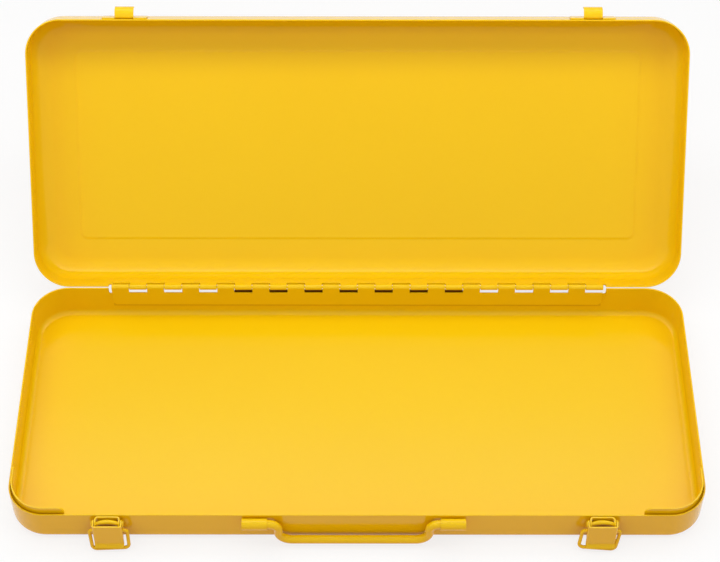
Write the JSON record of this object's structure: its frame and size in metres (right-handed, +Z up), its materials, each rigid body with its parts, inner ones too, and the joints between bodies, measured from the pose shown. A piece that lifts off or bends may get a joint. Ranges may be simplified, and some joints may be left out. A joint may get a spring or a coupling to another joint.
{
  "type": "metal storage case",
  "caption": "Flat painted steel case: drawn tray and lid on a piano hinge, wire-bail latches with hook catches, corner guides and a fold-down rod handle.",
  "frame": {"origin": "centre of the tray's flat underside, on the table", "axes": "+X along the hinge, to the right as seen from the latches; +Y from the latches to the hinge; +Z up"},
  "size_m": [0.364, 0.2642, 0.1468],
  "materials": {
    "shell_paint": "gloss",
    "hinge_paint": "gloss",
    "handle_paint": "gloss",
    "latch_paint": "gloss"
  },
  "bodies": {
    "base": {"base_tray": "shell_paint", "corner_guide_left": "shell_paint", "corner_guide_right": "shell_paint", "hinge_leaf_base": "hinge_paint", "hinge_pin": "hinge_paint", "handle_clip_left": "handle_paint", "handle_clip_right": "handle_paint", "latch_bracket_left": "latch_paint", "latch_bracket_right": "latch_paint", "latch_pin_left": "latch_paint", "latch_pin_right": "latch_paint"},
    "lid": {"lid_shell": "shell_paint", "hinge_leaf_lid": "hinge_paint", "catch_left": "latch_paint", "catch_right": "latch_paint"},
    "handle": {"carry_handle": "handle_paint"},
    "lever_left": {"latch_lever_left": "latch_paint"},
    "lever_right": {"latch_lever_right": "latch_paint"},
    "bail_left": {"latch_bail_left": "latch_paint"},
    "bail_right": {"latch_bail_right": "latch_paint"}
  },
  "joints": [
    {"name": "lid_hinge", "type": "hinge", "parent": "base", "child": "lid", "pos_m": [0, 0.0752, 0.02322], "axis": [1, 0, 0], "range_deg": [0, 126]},
    {"name": "handle_swing", "type": "hinge", "parent": "base", "child": "handle", "pos_m": [0, -0.07885, 0.01905], "axis": [-1, 0, 0], "range_deg": [0, 180]},
    {"name": "lever_left_swing", "type": "hinge", "parent": "base", "child": "lever_left", "pos_m": [-0.1285, -0.0791, 0.0197], "axis": [-1, 0, 0], "range_deg": [0, 90]},
    {"name": "lever_right_swing", "type": "hinge", "parent": "base", "child": "lever_right", "pos_m": [0.1285, -0.0791, 0.0197], "axis": [-1, 0, 0], "range_deg": [0, 90]},
    {"name": "bail_left_swing", "type": "hinge", "parent": "lever_left", "child": "bail_left", "pos_m": [-0.1285, -0.0795, 0.0144], "axis": [-1, 0, 0], "range_deg": [0, 90]},
    {"name": "bail_right_swing", "type": "hinge", "parent": "lever_right", "child": "bail_right", "pos_m": [0.1285, -0.0795, 0.0144], "axis": [-1, 0, 0], "range_deg": [0, 90]}
  ]
}
